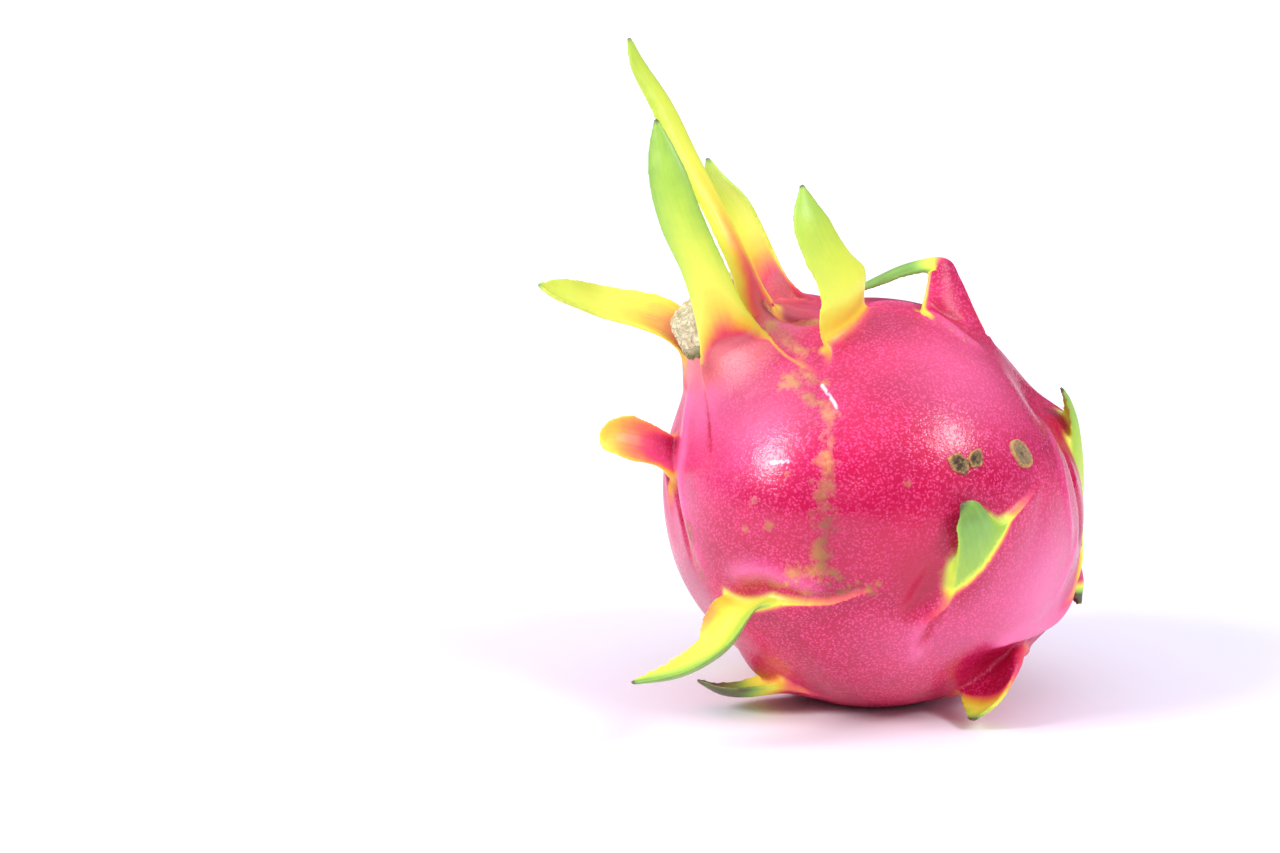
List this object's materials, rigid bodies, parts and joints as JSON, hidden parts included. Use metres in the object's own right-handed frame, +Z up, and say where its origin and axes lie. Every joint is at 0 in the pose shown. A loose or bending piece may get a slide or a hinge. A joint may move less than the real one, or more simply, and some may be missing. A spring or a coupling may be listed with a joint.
{
  "type": "dragon fruit",
  "caption": "whole ripe dragon fruit lying on its side, with a waxy peel that runs out into leafy scales, a dry flower remnant in the crown and a cut stalk end",
  "frame": {"origin": "middle of the flat spot that the fruit rests on", "axes": "+Z up; +X to the right and +Y away from the viewer of the fruit's best side; the crown points up and to -X"},
  "size_m": [0.1282, 0.1177, 0.1537],
  "materials": {
    "peel": "waxy magenta peel with a soft gloss and fine pale speckles; scales green and yellow towards their tips",
    "cork": "dry, matt, cream-beige corky tissue",
    "stalk": "dry, matt, brown-green callus"
  },
  "bodies": {
    "root": {"fruit": "peel", "flower_stub": "cork", "stalk_end": "stalk"}
  },
  "joints": []
}
